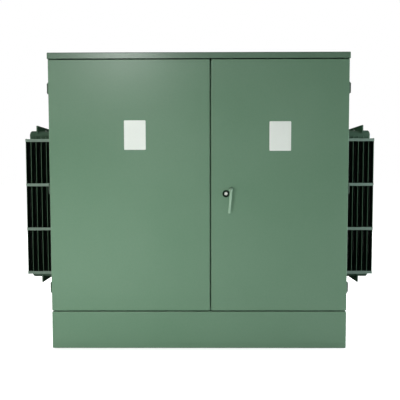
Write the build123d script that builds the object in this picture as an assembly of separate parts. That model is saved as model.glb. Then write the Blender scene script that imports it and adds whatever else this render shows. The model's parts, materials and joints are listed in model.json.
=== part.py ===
"""Three-phase pad-mounted power transformer: terminal cabinet, oil tank and panel radiators.

Millimetres, +Z up, front of the cabinet towards -Y, right side towards +X.
The origin is on the ground, in the middle of the overall length and depth.
"""

import os

from build123d import *

# Cabinet, measured on the door face
CABINET_WIDTH = 1780
CABINET_HEIGHT = 1770
CABINET_DEPTH = 600
SHEET = 3
BEND = 5
SILL_HEIGHT = 225
DOOR_BOTTOM_GAP = 6
DOOR_TOP_GAP = 3
SEAM_X = 70
SEAM_GAP = 7
DOOR_DEPTH = 40
HINGE_GAP = 8
DOOR_STOP = 35

# Roof pan
ROOF_FLANGE = 36
ROOF_FALL = 10
ROOF_FRONT_OVERHANG = 7
ROOF_SIDE_OVERHANG = 3
ROOF_REAR_LAP = 40

# Door hinges
HINGE_COUNT = 3
HINGE_LOW_INSET = 134
HINGE_HIGH_INSET = 162
HINGE_LENGTH = 57
KNUCKLE_D = 20
PIN_D = 10
PIN_CLEARANCE = 0.15
KNUCKLE_END_GAP = 0.5
LEAF = 4
LEAF_WIDTH = 38
AXIS_OUTSIDE = 11
KNUCKLE_ROOM = 1.3

# Door stiffeners
STIFFENER_WIDTH = 60
STIFFENER_CROWN = 30
STIFFENER_DEPTH = 24
STIFFENER_END = 90

# Handle and locking bolt on the right door
HANDLE_FROM_SEAM = 121
HANDLE_BELOW_MID = 18
HANDLE_REACH = 47
LEVER_D = 13
LEVER_BEND = 14
LEVER_DROP = 134
LEVER_LEAN = 11
SHAFT_D = 16
SHAFT_CLEARANCE = 0.3
HUB_D = 22
HUB_LENGTH = 8
BOSS_D = 28
BOSS_TOP_D = 22
BOSS_HEIGHT = 9
CAM_LENGTH = 70
CAM_WIDTH = 24
CAM_SHEET = 6
CAM_SETBACK = 12
BOLT_BESIDE_HANDLE = 28
BOLT_BELOW_HANDLE = 25
CUP_D = 43
CUP_DEPTH = 28
CUP_WALL = 2
CUP_FLANGE = 5
BOLT_HEAD_D = 22
BOLT_HEAD_HEIGHT = 20
BOLT_SHANK_D = 12
BOLT_SHANK_LENGTH = 36

# Tank
TANK_WIDTH = 1640
TANK_DEPTH = 850
TANK_BELOW_ROOF = 120
TANK_CORNER = 25
FRONT_PLATE = 10
RIM_WIDTH = 45
RIM_HEIGHT = 14
COVER = 8
SKID_HEIGHT = 100
SKID_WIDTH = 120
SKID_SHEET = 8
SKID_INSET = 130
FOOT_LENGTH = 90
FOOT_HEIGHT = 14
ANCHOR_HOLE_D = 26
REAR_RIB_COUNT = 4
REAR_RIB_PITCH = 400
REAR_RIB_WIDTH = 110
REAR_RIB_CROWN = 60
REAR_RIB_DEPTH = 50
REAR_RIB_END = 60
LUG_REACH = 110
LUG_EYE_D = 100
LUG_FOOT = 75
LUG_PLATE = 18
LUG_HOLE_D = 44
LUG_EYE_DROP = 190
LUG_INSET = 45
HANDHOLE_D = 420
HANDHOLE_LID = 12
HANDHOLE_RIM = 40
HANDHOLE_NECK = 40

# Radiators
PANEL_COUNT = 10
PANEL_PITCH = 38
PANEL_WIDTH = 300
PANEL_LOW_END = 4
PANEL_HIGH_END = 27
PANEL_SEAM = 3
PANEL_THICKNESS = 11
FLUTE_COUNT = 4
FLUTE_WIDTH = 56
FLUTE_PITCH = 68
FLUTE_END = 62
RADIATOR_GAP = 135
RADIATOR_PITCH = 390
HEADER_LOW_Z = 302
HEADER_BELOW_TANK_TOP = 297
HEADER_D = 89
HEADER_SEAT = 0.3
HEADER_END = 7
HEADER_DOME = 12
HEADER_FLANGE_D = 150
HEADER_FLANGE = 16
STRAP_COUNT = 4
STRAP_INSET = 13
STRAP_HEIGHT = 21
STRAP_THICKNESS = 5
TIE_HEIGHT = 61
TIE_PLATE = 10
TIE_BAR = 18
TIE_FOOT = 176
TIE_LAP = 24
TIE_HIGH_INSET = 43
TIE_LOW_INSET = 65
TIE_OVERHANG = 46

# High-voltage bushings
HV_COUNT = 3
HV_SIDE_ROOM = 268.5
HV_BELOW_ROOF = 750
HV_FLANGE_D = 124
HV_FLANGE = 14
HV_COLLAR_D = 92
HV_COLLAR = 46
HV_CONE_D = 72
HV_CONE_TIP_D = 52
HV_CONE = 100
HV_NOSE_D = 40
HV_NOSE = 30

# Low-voltage bushings and their terminal blades
LV_COUNT = 4
LV_SIDE_ROOM = 126.5
LV_BELOW_ROOF = 670
LV_FLANGE_D = 132
LV_FLANGE = 14
LV_RIB_COUNT = 3
LV_RIB_D = 104
LV_RIB = 13
LV_NECK_D = 84
LV_NECK = 13
LV_STUD_D = 32
LV_STUD = 30
SPADE_THICKNESS = 12
SPADE_WIDTH = 92
SPADE_HEIGHT = 96
SPADE_HOLE_D = 14.3
SPADE_HOLE_PITCH = 44.45

# Fuse holders and tap changer
FUSE_COUNT = 3
FUSE_PITCH = 150
FUSE_BELOW_ROOF = 370
FUSE_FLANGE_D = 84
FUSE_FLANGE = 12
FUSE_BODY_D = 60
FUSE_BODY = 58
FUSE_CAP_D = 68
FUSE_CAP = 12
FUSE_STEM_D = 26
FUSE_STEM = 38
TAP_SIDE_ROOM = 130
TAP_DIAL_D = 116
TAP_DIAL = 6
TAP_HUB_D = 42
TAP_HUB = 24
TAP_GRIP = 18
TAP_GRIP_LENGTH = 80

# Gauges, drain valve and ground pads
GAUGE_COUNT = 3
GAUGE_PITCH = 150
GAUGE_BELOW_ROOF = 320
GAUGE_D = 96
GAUGE_BEVEL = 6
GAUGE_CASE = 22
GAUGE_STEM_D = 48
GAUGE_STEM = 18
VALVE_SIDE_ROOM = 130
VALVE_Z = 330
VALVE_FLANGE_D = 96
VALVE_FLANGE = 12
VALVE_PIPE_D = 44
VALVE_PIPE = 38
VALVE_BODY_D = 68
VALVE_BODY = 58
VALVE_OUTLET_D = 48
VALVE_OUTLET = 28
VALVE_PLUG_D = 34
VALVE_PLUG = 14
VALVE_BONNET_D = 40
VALVE_BONNET = 60
VALVE_STEM_D = 16
VALVE_STEM = 44
WHEEL_D = 84
WHEEL_ROD_D = 14
WHEEL_SPOKE = 10
WHEEL_BELOW_STEM_TIP = 12
GROUND_SIDE_ROOM = 130
GROUND_BESIDE_BARRIER = 230
GROUND_Z = 160
GROUND_PAD_WIDTH = 50
GROUND_PAD_DEPTH = 20
GROUND_PAD_HEIGHT = 90
GROUND_HOLE_D = 13
GROUND_HOLE_PITCH = 44.45

# Places worked out from the sizes
HALF = CABINET_WIDTH / 2
REAR_REACH = CABINET_DEPTH + FRONT_PLATE + TANK_DEPTH + REAR_RIB_DEPTH
FACE_Y = (HANDLE_REACH - REAR_REACH) / 2
STOP_Y = FACE_Y + DOOR_DEPTH + HINGE_GAP
PLATE_Y = FACE_Y + CABINET_DEPTH
TANK_Y = PLATE_Y + FRONT_PLATE
TANK_REAR_Y = TANK_Y + TANK_DEPTH
TANK_MID_Y = (TANK_Y + TANK_REAR_Y) / 2
ROOF_FRONT_Y = FACE_Y - ROOF_FRONT_OVERHANG
ROOF_REAR_Y = TANK_Y + ROOF_REAR_LAP
DOOR_BOTTOM = SILL_HEIGHT + DOOR_BOTTOM_GAP
DOOR_TOP = CABINET_HEIGHT - ROOF_FLANGE - DOOR_TOP_GAP
RAIL_BOTTOM = DOOR_TOP - DOOR_STOP
HINGE_AXIS = (HALF + AXIS_OUTSIDE, FACE_Y + DOOR_DEPTH + HINGE_GAP / 2)
HINGE_ENDS = (DOOR_BOTTOM + HINGE_LOW_INSET, DOOR_TOP - HINGE_HIGH_INSET)
HANDLE_X = SEAM_X + HANDLE_FROM_SEAM
HANDLE_Z = (DOOR_BOTTOM + DOOR_TOP) / 2 - HANDLE_BELOW_MID
BOLT_X = HANDLE_X - BOLT_BESIDE_HANDLE
BOLT_Z = HANDLE_Z - BOLT_BELOW_HANDLE
TANK_HALF = TANK_WIDTH / 2
TANK_TOP = CABINET_HEIGHT - TANK_BELOW_ROOF
FIRST_PANEL_X = TANK_HALF + RADIATOR_GAP
LAST_PANEL_X = FIRST_PANEL_X + (PANEL_COUNT - 1) * PANEL_PITCH
HEADER_TIP_X = LAST_PANEL_X + PANEL_THICKNESS / 2 + HEADER_END
BANK_Y = {
    "front": TANK_MID_Y - RADIATOR_PITCH / 2,
    "rear": TANK_MID_Y + RADIATOR_PITCH / 2,
}
HEADER_Z = (HEADER_LOW_Z, TANK_TOP - HEADER_BELOW_TANK_TOP)
PANEL_Z = (HEADER_Z[0] + PANEL_LOW_END, HEADER_Z[1] - PANEL_HIGH_END)
LUG_EYE_Z = TANK_TOP - LUG_EYE_DROP
HV_ROOM = (-HALF, SEAM_X)
LV_ROOM = (SEAM_X, HALF)
LV_REACH = LV_FLANGE + LV_RIB_COUNT * (LV_NECK + LV_RIB) + LV_NECK


def spread(count, pitch, middle=0):
    """Evenly spaced places about a middle."""
    return [middle + (i - (count - 1) / 2) * pitch for i in range(count)]


def between(count, ends, inset=0):
    """Evenly spaced places from one end to the other, each end drawn in by an inset."""
    span = ends[1] - ends[0] - 2 * inset
    return spread(count, span / (count - 1), (ends[0] + ends[1]) / 2)


def block(x, y, z):
    """A rectangular piece between three pairs of limits."""
    size = Box(x[1] - x[0], y[1] - y[0], z[1] - z[0])
    return Pos((x[0] + x[1]) / 2, (y[0] + y[1]) / 2, (z[0] + z[1]) / 2) * size


def prism(points, plane, length):
    """A closed outline on a plane, drawn out along the plane's normal."""
    return extrude(plane * make_face(Polyline(*points, close=True)), length)


def bent_sheet(points, plane, length, thickness=SHEET, side=Side.LEFT):
    """A sheet folded along the given line, with round bends, drawn out along the plane's normal."""
    fold = FilletPolyline(*points, radius=BEND)
    return extrude(plane * make_face(offset(fold, amount=thickness, side=side)), length)


def turned(points, place, axis):
    """A turned piece from (distance along the axis, radius) pairs."""
    profile = make_face(Polyline((points[0][0], 0), *points, (points[-1][0], 0), close=True))
    return Plane(place, x_dir=axis, z_dir=(0, 0, 1) if axis[2] == 0 else (0, 1, 0)) * revolve(profile, Axis.X)


def sections(*rows):
    """Profile of a turned piece from rows of length, diameter and, where it tapers, end diameter."""
    points = []
    along = 0
    for length, *diameters in rows:
        for point in ((along, diameters[0] / 2), (along + length, diameters[-1] / 2)):
            if point not in points:
                points.append(point)
        along += length
    return points


def drill(place, axis, diameter, length):
    """A round hole's core, centred on its place."""
    return Plane(place, z_dir=axis) * Cylinder(diameter / 2, length)


def pan(x, z, depth):
    """A folded sheet pan with its face at the cabinet's front and its returns towards the rear."""
    outside = block(x, (FACE_Y, FACE_Y + depth), z)
    face_edges = outside.faces().sort_by(Axis.Y)[0].edges()
    corners = outside.edges().filter_by(Axis.Y)
    outside = fillet(face_edges + corners, BEND)
    inside = block(
        (x[0] + SHEET, x[1] - SHEET), (FACE_Y + SHEET, FACE_Y + depth + SHEET), (z[0] + SHEET, z[1] - SHEET)
    )
    return outside - inside


def roof_outline(front, rear, low, drop):
    """Side outline of what lies under the roof's sloping top, lowered by a drop, over a depth."""
    slope = ROOF_FALL / (ROOF_REAR_Y - ROOF_FRONT_Y)
    front_top = CABINET_HEIGHT - drop - slope * (front - ROOF_FRONT_Y)
    rear_top = CABINET_HEIGHT - drop - slope * (rear - ROOF_FRONT_Y)
    return [(front, low), (rear, low), (rear, rear_top), (front, front_top)]


def under_roof():
    """Everything in the cabinet's width below the roof sheet's sloping underside."""
    outline = roof_outline(ROOF_FRONT_Y, ROOF_REAR_Y, 0, SHEET)
    return Pos(-HALF, 0, 0) * prism(outline, Plane.YZ, CABINET_WIDTH)


def cabinet_side():
    """Right side sheet with its door-stop return; the left one is its mirror image."""
    fold = [(HALF, TANK_Y), (HALF, STOP_Y), (HALF - DOOR_STOP, STOP_Y)]
    return bent_sheet(fold, Plane.XY, CABINET_HEIGHT, side=Side.RIGHT) & under_roof()


def cabinet_roof():
    """Pan roof with a fall to the rear and flanges all round."""
    low = CABINET_HEIGHT - ROOF_FLANGE
    half = HALF + ROOF_SIDE_OVERHANG
    outline = roof_outline(ROOF_FRONT_Y, ROOF_REAR_Y, low, 0)
    outside = Pos(-half, 0, 0) * prism(outline, Plane.YZ, 2 * half)
    top = outside.faces().sort_by(Axis.Z)[-1]
    uprights = outside.edges().filter_by(Axis.Z)
    outside = fillet(top.edges() + uprights, BEND)
    inner = roof_outline(ROOF_FRONT_Y + SHEET, ROOF_REAR_Y - SHEET, low - SHEET, SHEET)
    return outside - Pos(SHEET - half, 0, 0) * prism(inner, Plane.YZ, 2 * (half - SHEET))


def compartment_barrier():
    """Folded partition between the two compartments, with a stop for both doors behind the seam."""
    web = SEAM_X - DOOR_STOP / 2
    fold = [(web, PLATE_Y), (web, STOP_Y), (web + DOOR_STOP, STOP_Y)]
    rail_room = block(
        (web - SHEET, web + DOOR_STOP),
        (STOP_Y, STOP_Y + DOOR_STOP + 2 * SHEET),
        (RAIL_BOTTOM, CABINET_HEIGHT),
    )
    return (bent_sheet(fold, Plane.XY, CABINET_HEIGHT) & under_roof()) - rail_room


def top_rail():
    """Folded rail that joins the side sheets behind the doors' top edges."""
    high = CABINET_HEIGHT - ROOF_FLANGE
    fold = [(STOP_Y + SHEET, RAIL_BOTTOM), (STOP_Y + SHEET, high), (STOP_Y + SHEET + DOOR_STOP, high)]
    length = CABINET_WIDTH - 2 * (SHEET + BEND)
    rail = bent_sheet(fold, Plane.YZ, length, side=Side.RIGHT)
    return Pos(-length / 2, 0, 0) * rail


def knuckle_levels(z):
    """Lower, middle and upper knuckle limits of one hinge centred at z."""
    third = HINGE_LENGTH / 3
    low = z - HINGE_LENGTH / 2
    return [(low + i * third, low + (i + 1) * third) for i in range(3)]


def round_bar(limits, diameter):
    """An upright round bar on the right door's hinge axis."""
    length = limits[1] - limits[0]
    return Pos(*HINGE_AXIS, (limits[0] + limits[1]) / 2) * Cylinder(diameter / 2, length)


def leaf(z, towards, knuckles, others):
    """One hinge leaf on the side face: a plate with its knuckles, cleared round the other leaf's knuckles."""
    x, y = HINGE_AXIS
    reach = sorted((y, y + towards * LEAF_WIDTH))
    plate = block((HALF, HALF + LEAF), reach, (z - HINGE_LENGTH / 2, z + HINGE_LENGTH / 2))
    for limits in knuckles:
        plate += round_bar(limits, KNUCKLE_D)
    room = KNUCKLE_D + 2 * KNUCKLE_ROOM
    for limits in others:
        plate -= round_bar((limits[0] - KNUCKLE_END_GAP, limits[1] + KNUCKLE_END_GAP), room)
    return plate


def hinge_bracket(z):
    """Fixed leaf with the lower and upper knuckles and the pin."""
    lower, middle, upper = knuckle_levels(z)
    return leaf(z, 1, [lower, upper], [middle]) + round_bar((lower[0], upper[1]), PIN_D)


def hinge_leaf(z):
    """Door leaf with the middle knuckle, bored for the pin."""
    lower, middle, upper = knuckle_levels(z)
    plate = leaf(z, -1, [middle], [lower, upper])
    return plate - round_bar(middle, PIN_D + 2 * PIN_CLEARANCE)


def door(x):
    """Door pan between two limits across the cabinet."""
    return pan(x, (DOOR_BOTTOM, DOOR_TOP), DOOR_DEPTH)


def hat_section(width, crown, depth, length):
    """Pressed hat section standing on its brims, open side towards -Y, drawn up along Z."""
    brim = (width - crown) / 4
    foot = width / 2 - brim
    line = [(-width / 2, 0), (-foot, 0), (-crown / 2, depth), (crown / 2, depth), (foot, 0), (width / 2, 0)]
    skin = make_face(offset(Polyline(*line), amount=SHEET, side=Side.RIGHT))
    return Pos(0, SHEET, 0) * extrude(skin, length)


def door_stiffeners(x):
    """Two hat sections at the third points of a door's inner face."""
    length = DOOR_TOP - DOOR_BOTTOM - 2 * STIFFENER_END
    hat = hat_section(STIFFENER_WIDTH, STIFFENER_CROWN, STIFFENER_DEPTH - SHEET, length)
    places = spread(2, (x[1] - x[0]) / 2, (x[0] + x[1]) / 2)
    return [Pos(place, FACE_Y + SHEET, DOOR_BOTTOM + STIFFENER_END) * hat for place in places]


def handle_boss():
    """Round bearing for the handle's shaft on the door face."""
    place = (HANDLE_X, FACE_Y, HANDLE_Z)
    ring = turned(sections((BOSS_HEIGHT, BOSS_D, BOSS_TOP_D)), place, (0, -1, 0))
    return ring - drill(place, (0, 1, 0), SHAFT_D + 2 * SHAFT_CLEARANCE, 4 * BOSS_HEIGHT)


def handle_lever():
    """Bent rod lever with its shaft through the door and a cam behind it."""
    cam_y = FACE_Y + SHEET + CAM_SETBACK
    rod_y = FACE_Y - HANDLE_REACH + LEVER_D / 2
    root_y = FACE_Y - BOSS_HEIGHT
    path = FilletPolyline(
        (HANDLE_X, root_y, HANDLE_Z),
        (HANDLE_X, rod_y, HANDLE_Z),
        (HANDLE_X - LEVER_LEAN, rod_y, HANDLE_Z - LEVER_DROP),
        radius=LEVER_BEND,
    )
    rod = sweep(Plane(path @ 0, z_dir=path % 0) * Circle(LEVER_D / 2), path)
    tip = Pos(*(path @ 1)) * Sphere(LEVER_D / 2)
    inner = turned(sections((cam_y + CAM_SHEET - root_y, SHAFT_D)), (HANDLE_X, root_y, HANDLE_Z), (0, 1, 0))
    outer_rows = sections((SHAFT_CLEARANCE, SHAFT_D), (HUB_LENGTH, HUB_D, SHAFT_D))
    outer = turned(outer_rows, (HANDLE_X, root_y, HANDLE_Z), (0, -1, 0))
    outline = Pos(CAM_LENGTH / 2 - CAM_WIDTH / 2, 0) * SlotOverall(CAM_LENGTH, CAM_WIDTH)
    cam = Plane((HANDLE_X, cam_y, HANDLE_Z), x_dir=(1, 0, 0), z_dir=(0, 1, 0)) * extrude(outline, CAM_SHEET)
    return rod + tip + inner + outer + cam


def bolt_cup():
    """Pressed cup that recesses the locking bolt in the door."""
    back = SHEET
    rim, wall = CUP_D / 2 + CUP_FLANGE, CUP_D / 2
    place = (BOLT_X, FACE_Y, BOLT_Z)
    outer = [(back, rim), (back + CUP_WALL, rim), (back + CUP_WALL, wall + CUP_WALL)]
    outer += [(back + CUP_DEPTH, wall + CUP_WALL)]
    cup = turned(outer, place, (0, 1, 0))
    cup -= turned([(0, wall), (back + CUP_DEPTH - CUP_WALL, wall)], place, (0, 1, 0))
    return cup - drill(place, (0, 1, 0), BOLT_SHANK_D + 2 * SHAFT_CLEARANCE, 4 * CUP_DEPTH)


def lock_bolt():
    """Five-sided captive bolt with a plain shank."""
    seat = FACE_Y + SHEET + CUP_DEPTH - CUP_WALL
    plane = Plane((BOLT_X, seat, BOLT_Z), x_dir=(1, 0, 0), z_dir=(0, -1, 0))
    head = plane * extrude(RegularPolygon(BOLT_HEAD_D / 2, 5), BOLT_HEAD_HEIGHT)
    shank = plane * extrude(Circle(BOLT_SHANK_D / 2), -BOLT_SHANK_LENGTH)
    return head + shank


def right_door(x):
    """Right door pan with holes for the handle's shaft and the bolt cup."""
    panel = door(x)
    panel -= drill((HANDLE_X, FACE_Y, HANDLE_Z), (0, 1, 0), SHAFT_D + 2 * SHAFT_CLEARANCE, 4 * SHEET)
    return panel - drill((BOLT_X, FACE_Y, BOLT_Z), (0, 1, 0), CUP_D, 4 * SHEET)


def tank_body():
    """Welded tank with round vertical corners and a bolting rim round its top."""
    body = block((-TANK_HALF, TANK_HALF), (TANK_Y, TANK_REAR_Y), (SKID_HEIGHT, TANK_TOP))
    rear_corners = body.edges().filter_by(Axis.Z).sort_by(Axis.Y)[-2:]
    body = fillet(rear_corners, TANK_CORNER)
    rim_half = TANK_HALF + RIM_WIDTH
    rim = block((-rim_half, rim_half), (TANK_Y, TANK_REAR_Y + RIM_WIDTH), (TANK_TOP - RIM_HEIGHT, TANK_TOP))
    return body + rim


def tank_cover():
    """Flat cover plate with a hand-hole: a neck under its round lid."""
    half = TANK_HALF + RIM_WIDTH
    plate = block((-half, half), (TANK_Y, TANK_REAR_Y + RIM_WIDTH), (TANK_TOP, TANK_TOP + COVER))
    hand_hole = sections((HANDHOLE_NECK, HANDHOLE_D - 2 * HANDHOLE_RIM), (HANDHOLE_LID, HANDHOLE_D))
    return plate + turned(hand_hole, (0, TANK_MID_Y, TANK_TOP + COVER), (0, 0, 1))


def tank_front_plate():
    """Thick plate that closes the tank's front and carries the cabinet and the terminals."""
    half = HALF - SHEET
    return block((-half, half), (PLATE_Y, TANK_Y), (0, CABINET_HEIGHT)) & under_roof()


def skid(y):
    """Channel skid across the tank's underside, with an anchor foot at each end."""
    web = y + SKID_WIDTH / 2
    fold = [(y - SKID_WIDTH / 2, 0), (web, 0), (web, SKID_HEIGHT), (y - SKID_WIDTH / 2, SKID_HEIGHT)]
    line = FilletPolyline(*fold, radius=BEND + SKID_SHEET)
    skin = make_face(offset(line, amount=SKID_SHEET, side=Side.LEFT))
    channel = Pos(-TANK_HALF, 0, 0) * extrude(Plane.YZ * skin, TANK_WIDTH)
    for side in (-1, 1):
        reach = sorted((side * TANK_HALF, side * (TANK_HALF + FOOT_LENGTH)))
        foot = block(reach, (y - SKID_WIDTH / 2, y + SKID_WIDTH / 2 - BEND - SKID_SHEET), (0, FOOT_HEIGHT))
        hole = drill((side * (TANK_HALF + FOOT_LENGTH / 2), y, 0), (0, 0, 1), ANCHOR_HOLE_D, 4 * FOOT_HEIGHT)
        channel += foot - hole
    return channel


def tank_skids():
    """Front and rear skids."""
    return [skid(TANK_Y + SKID_INSET), skid(TANK_REAR_Y - SKID_INSET)]


def tank_rear_ribs():
    """Pressed stiffening ribs on the tank's rear wall."""
    length = TANK_TOP - RIM_HEIGHT - SKID_HEIGHT - 2 * REAR_RIB_END
    hat = hat_section(REAR_RIB_WIDTH, REAR_RIB_CROWN, REAR_RIB_DEPTH - SHEET, length)
    low = SKID_HEIGHT + REAR_RIB_END
    return [Pos(x, TANK_REAR_Y, low) * hat for x in spread(REAR_RIB_COUNT, REAR_RIB_PITCH)]


def lifting_lugs():
    """Four plate lugs with a round eye, welded to the tank's side walls."""
    radius = LUG_EYE_D / 2
    tip = LUG_REACH - radius
    line = Polyline((0, -radius - LUG_FOOT), (tip, -radius), (tip, radius), (0, radius), close=True)
    plate = make_face(line) + Pos(tip, 0) * Circle(radius) - Pos(tip, 0) * Circle(LUG_HOLE_D / 2)
    lugs = []
    for y in (TANK_Y + LUG_INSET, TANK_REAR_Y - LUG_INSET):
        right = Plane((TANK_HALF, y + LUG_PLATE / 2, LUG_EYE_Z), x_dir=(1, 0, 0), z_dir=(0, -1, 0))
        lug = right * extrude(plate, LUG_PLATE)
        lugs += [lug, mirror(lug, Plane.YZ)]
    return lugs


def radiator_panel(y):
    """Pressed cooling panel: a welded seam sheet with tapered flutes, cut to seat on both headers."""
    middle = (PANEL_Z[0] + PANEL_Z[1]) / 2
    height = PANEL_Z[1] - PANEL_Z[0]
    sheet = Pos(0, y, middle) * Box(PANEL_SEAM, PANEL_WIDTH, height)
    rise = (PANEL_THICKNESS - PANEL_SEAM) / 2
    flute = Rectangle(FLUTE_WIDTH, height - 2 * FLUTE_END)
    for side in (-1, 1):
        face = Plane((side * PANEL_SEAM / 2, y, middle), x_dir=(0, side, 0), z_dir=(side, 0, 0))
        for place in spread(FLUTE_COUNT, FLUTE_PITCH):
            sheet += face * Pos(place, 0) * extrude(flute, rise, taper=60)
    for z in HEADER_Z:
        sheet -= drill((0, y, z), (1, 0, 0), HEADER_D + 2 * HEADER_SEAT, 4 * PANEL_THICKNESS)
    return sheet


def radiator_panels(y):
    """The right-hand stack of panels about a header's line."""
    panel = radiator_panel(y)
    return [Pos(FIRST_PANEL_X + i * PANEL_PITCH, 0, 0) * panel for i in range(PANEL_COUNT)]


def radiator_headers(y):
    """Upper and lower header pipes from a flange on the tank wall to a domed end."""
    pipe = HEADER_TIP_X - TANK_HALF - HEADER_FLANGE
    profile = sections((HEADER_FLANGE, HEADER_FLANGE_D), (pipe, HEADER_D))
    header = turned(profile, (TANK_HALF, y, 0), (1, 0, 0))
    header = fillet(header.faces().sort_by(Axis.X)[-1].edges(), HEADER_DOME)
    return [Pos(0, 0, z) * header for z in HEADER_Z]


def radiator_straps(y):
    """Flat straps across the front and rear edges of the panels."""
    x = (FIRST_PANEL_X - PANEL_SEAM / 2, LAST_PANEL_X + PANEL_SEAM / 2)
    straps = []
    for z in between(STRAP_COUNT, PANEL_Z, STRAP_INSET):
        level = (z - STRAP_HEIGHT / 2, z + STRAP_HEIGHT / 2)
        for edge in (-1, 1):
            near = y + edge * PANEL_WIDTH / 2
            straps.append(block(x, sorted((near, near + edge * STRAP_THICKNESS)), level))
    return straps


def radiator_ties():
    """Plates on edge that tie the two radiators of a side: a bar on two feet above, a plain plate below."""
    front, rear = BANK_Y["front"] - TIE_OVERHANG, BANK_Y["rear"] + TIE_OVERHANG
    foot = HEADER_Z[1] + HEADER_D / 2 - TIE_LAP
    head = foot + TIE_HEIGHT
    bridge = [
        (front, foot), (front, head), (rear, head), (rear, foot),
        (rear - TIE_FOOT, foot), (rear - TIE_FOOT, head - TIE_BAR),
        (front + TIE_FOOT, head - TIE_BAR), (front + TIE_FOOT, foot),
    ]
    hung = HEADER_Z[0] - HEADER_D / 2 + TIE_LAP
    apron = [(front, hung - TIE_HEIGHT), (front, hung), (rear, hung), (rear, hung - TIE_HEIGHT)]
    ties = []
    for outline, inset, z in ((bridge, TIE_HIGH_INSET, HEADER_Z[1]), (apron, TIE_LOW_INSET, HEADER_Z[0])):
        x = LAST_PANEL_X - inset
        tie = Pos(x - TIE_PLATE, 0, 0) * prism(outline, Plane.YZ, TIE_PLATE)
        for y in BANK_Y.values():
            tie -= drill((x, y, z), (1, 0, 0), HEADER_D + 2 * HEADER_SEAT, 4 * TIE_PLATE)
        ties.append(tie)
    return ties


def on_front_plate(profile, places, z):
    """Like turned pieces that stand out from the front plate at several places and one height."""
    return [turned(profile, (x, PLATE_Y, z), (0, -1, 0)) for x in places]


def hv_bushings():
    """High-voltage bushings: a clamped flange, a collar, a cone and a contact nose."""
    profile = sections(
        (HV_FLANGE, HV_FLANGE_D),
        (HV_COLLAR, HV_COLLAR_D),
        (HV_CONE, HV_CONE_D, HV_CONE_TIP_D),
        (HV_NOSE, HV_NOSE_D),
    )
    return on_front_plate(profile, between(HV_COUNT, HV_ROOM, HV_SIDE_ROOM), CABINET_HEIGHT - HV_BELOW_ROOF)


def lv_places():
    """Places of the low-voltage terminals across their compartment, and their height."""
    return between(LV_COUNT, LV_ROOM, LV_SIDE_ROOM), CABINET_HEIGHT - LV_BELOW_ROOF


def lv_bushings():
    """Low-voltage bushings: a clamped flange and a ribbed insulator."""
    rib = [(LV_NECK, LV_NECK_D), (LV_RIB, LV_RIB_D)]
    profile = sections((LV_FLANGE, LV_FLANGE_D), *rib * LV_RIB_COUNT, (LV_NECK, LV_NECK_D))
    return on_front_plate(profile, *lv_places())


def lv_spades():
    """Four-hole terminal blades on the low-voltage bushings' studs."""
    seat = PLATE_Y - LV_REACH
    places, z = lv_places()
    y = (seat - LV_STUD - SPADE_WIDTH, seat - LV_STUD)
    half = SPADE_THICKNESS / 2
    blades = []
    for x in places:
        stud = turned(sections((LV_STUD, LV_STUD_D)), (x, seat, z), (0, -1, 0))
        blade = block((x - half, x + half), y, (z - SPADE_HEIGHT / 2, z + SPADE_HEIGHT / 2))
        for dy in spread(2, SPADE_HOLE_PITCH, (y[0] + y[1]) / 2):
            for dz in spread(2, SPADE_HOLE_PITCH, z):
                blade -= drill((x, dy, dz), (1, 0, 0), SPADE_HOLE_D, 4 * SPADE_THICKNESS)
        blades.append(stud + blade)
    return blades


def hv_fuse_holders():
    """Draw-out fuse holders above the high-voltage bushings."""
    profile = sections(
        (FUSE_FLANGE, FUSE_FLANGE_D),
        (FUSE_BODY, FUSE_BODY_D),
        (FUSE_CAP, FUSE_CAP_D),
        (FUSE_STEM, FUSE_STEM_D),
    )
    places = spread(FUSE_COUNT, FUSE_PITCH, (HV_ROOM[0] + HV_ROOM[1]) / 2)
    return on_front_plate(profile, places, CABINET_HEIGHT - FUSE_BELOW_ROOF)


def tap_changer():
    """Tap changer's dial plate with its turning knob, beside the fuse holders."""
    x, z = HV_ROOM[0] + TAP_SIDE_ROOM, CABINET_HEIGHT - FUSE_BELOW_ROOF
    knob = on_front_plate(sections((TAP_DIAL, TAP_DIAL_D), (TAP_HUB, TAP_HUB_D)), [x], z)[0]
    y = PLATE_Y - TAP_DIAL - TAP_HUB
    half = TAP_GRIP_LENGTH / 2
    return knob + block((x - TAP_GRIP / 2, x + TAP_GRIP / 2), (y - TAP_GRIP, y), (z - half, z + half))


def tank_gauges():
    """Dial gauges for level, temperature and pressure."""
    profile = sections(
        (GAUGE_STEM, GAUGE_STEM_D), (GAUGE_BEVEL, GAUGE_D - 2 * GAUGE_BEVEL, GAUGE_D), (GAUGE_CASE, GAUGE_D)
    )
    places = spread(GAUGE_COUNT, GAUGE_PITCH, (LV_ROOM[0] + LV_ROOM[1]) / 2)
    return on_front_plate(profile, places, CABINET_HEIGHT - GAUGE_BELOW_ROOF)


def drain_valve():
    """Drain valve with a flange, a body with a plugged outlet and a handwheel on its stem."""
    x = LV_ROOM[1] - VALVE_SIDE_ROOM
    run = sections(
        (VALVE_FLANGE, VALVE_FLANGE_D),
        (VALVE_PIPE, VALVE_PIPE_D),
        (VALVE_BODY, VALVE_BODY_D),
        (VALVE_OUTLET, VALVE_OUTLET_D),
        (VALVE_PLUG, VALVE_PLUG_D),
    )
    body = on_front_plate(run, [x], VALVE_Z)[0]
    stem_y = PLATE_Y - VALVE_FLANGE - VALVE_PIPE - VALVE_BODY / 2
    stem_rows = sections((VALVE_BONNET, VALVE_BONNET_D), (VALVE_STEM, VALVE_STEM_D))
    stem = turned(stem_rows, (x, stem_y, VALVE_Z), (0, 0, 1))
    spokes = Box(WHEEL_D, WHEEL_SPOKE, WHEEL_SPOKE) + Box(WHEEL_SPOKE, WHEEL_D, WHEEL_SPOKE)
    wheel = Torus(WHEEL_D / 2, WHEEL_ROD_D / 2) + spokes
    return body + stem + Pos(x, stem_y, VALVE_Z + VALVE_BONNET + VALVE_STEM - WHEEL_BELOW_STEM_TIP) * wheel


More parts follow.
